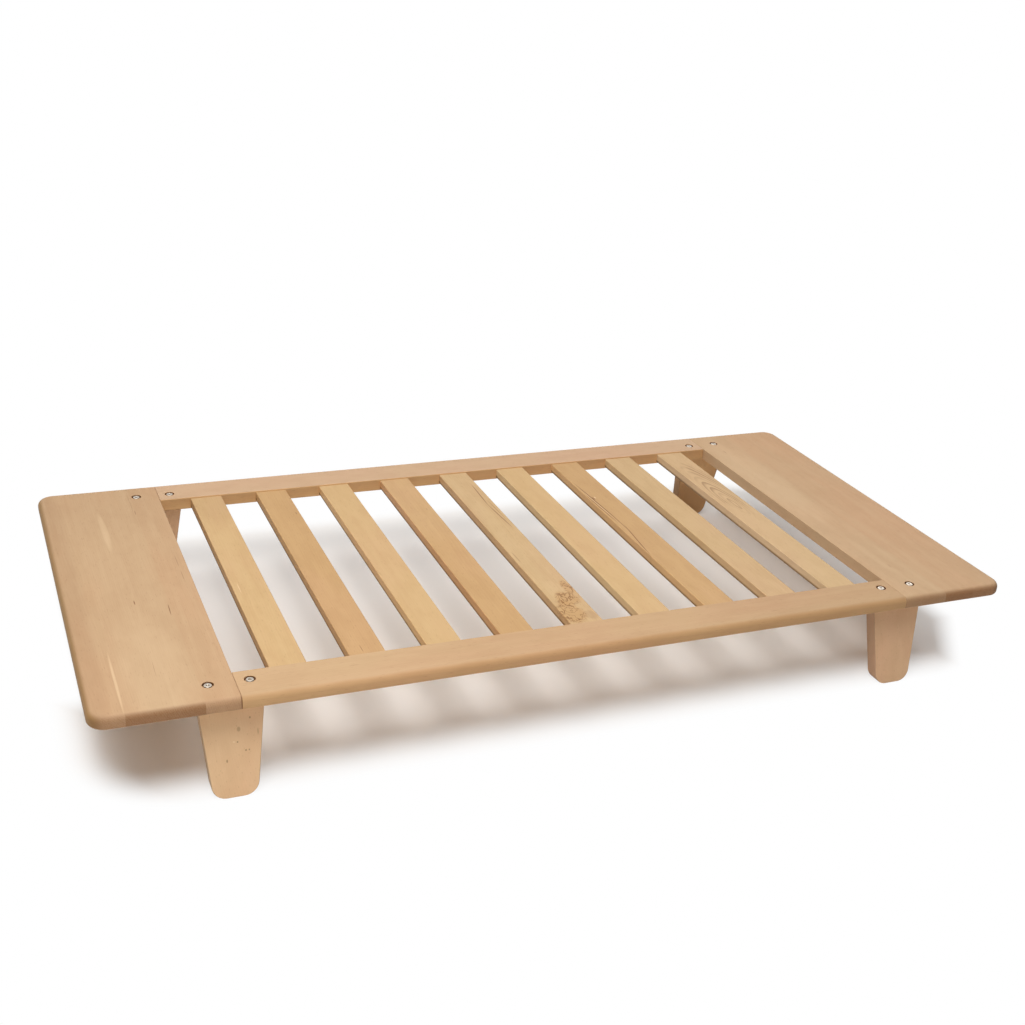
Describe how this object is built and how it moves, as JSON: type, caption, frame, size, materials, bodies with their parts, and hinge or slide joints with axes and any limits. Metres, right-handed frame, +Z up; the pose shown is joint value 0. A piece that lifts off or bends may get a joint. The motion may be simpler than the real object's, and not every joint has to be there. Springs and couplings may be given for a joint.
{
  "type": "toddler floor bed",
  "caption": "Low slatted toddler bed in solid beech: wide end boards and slim side rails round a slatted deck, on short splayed board legs bolted through the frame.",
  "frame": {"origin": "on the floor, under the middle of the bed", "axes": "+X along the bed from the left end board to the right one, +Y across it from the front rail to the back rail, +Z up"},
  "size_m": [1.4, 0.7, 0.155],
  "materials": {
    "frame_beech": "clear matt lacquer",
    "slat_beech": "clear matt lacquer",
    "leg_beech": "clear matt lacquer",
    "dowel_beech": "raw, glued",
    "bolt_steel": "zinc plated",
    "insert_steel": "zinc plated"
  },
  "bodies": {
    "root": {"end_board_left": "frame_beech", "end_board_right": "frame_beech", "rail_front": "frame_beech", "rail_back": "frame_beech", "slat_1": "slat_beech", "slat_2": "slat_beech", "slat_3": "slat_beech", "slat_4": "slat_beech", "slat_5": "slat_beech", "slat_6": "slat_beech", "slat_7": "slat_beech", "slat_8": "slat_beech", "slat_9": "slat_beech", "leg_front_left": "leg_beech", "bolts_front_left": "bolt_steel", "threaded_inserts_front_left": "insert_steel", "dowels_front_left": "dowel_beech", "leg_front_right": "leg_beech", "bolts_front_right": "bolt_steel", "threaded_inserts_front_right": "insert_steel", "dowels_front_right": "dowel_beech", "leg_back_left": "leg_beech", "bolts_back_left": "bolt_steel", "threaded_inserts_back_left": "insert_steel", "dowels_back_left": "dowel_beech", "leg_back_right": "leg_beech", "bolts_back_right": "bolt_steel", "threaded_inserts_back_right": "insert_steel", "dowels_back_right": "dowel_beech"}
  },
  "joints": []
}
